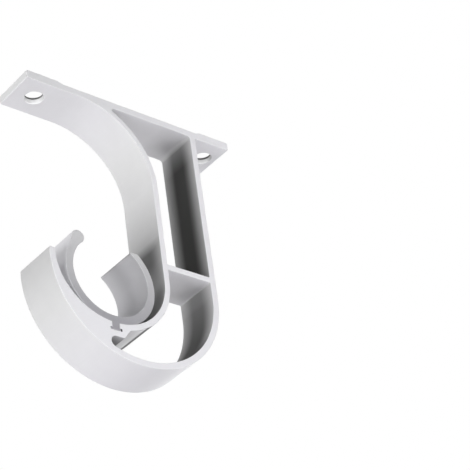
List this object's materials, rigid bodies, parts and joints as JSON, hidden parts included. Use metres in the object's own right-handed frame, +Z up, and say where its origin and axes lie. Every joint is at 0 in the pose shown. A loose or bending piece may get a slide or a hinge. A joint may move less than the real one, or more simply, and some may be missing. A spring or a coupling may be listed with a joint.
{
  "type": "curtain pole bracket",
  "caption": "Ceiling bracket for a curtain pole: a short cut length of hooked metal profile with a raised-pad screw plate and a plastic snap-in pole clip.",
  "frame": {"origin": "on the ceiling face, halfway between the two screw holes and halfway through the cut length", "axes": "+X along the ceiling plate from the hook's open side to the web, +Y along the pole, +Z up towards the ceiling"},
  "size_m": [0.0594, 0.0116, 0.0723],
  "materials": {
    "profile_metal": "satin anodised, pale silver, with sawn end faces",
    "clip_plastic": "grey moulded plastic with a fine satin surface"
  },
  "bodies": {
    "root": {"bracket_profile": "profile_metal", "pole_clip": "clip_plastic"}
  },
  "joints": []
}
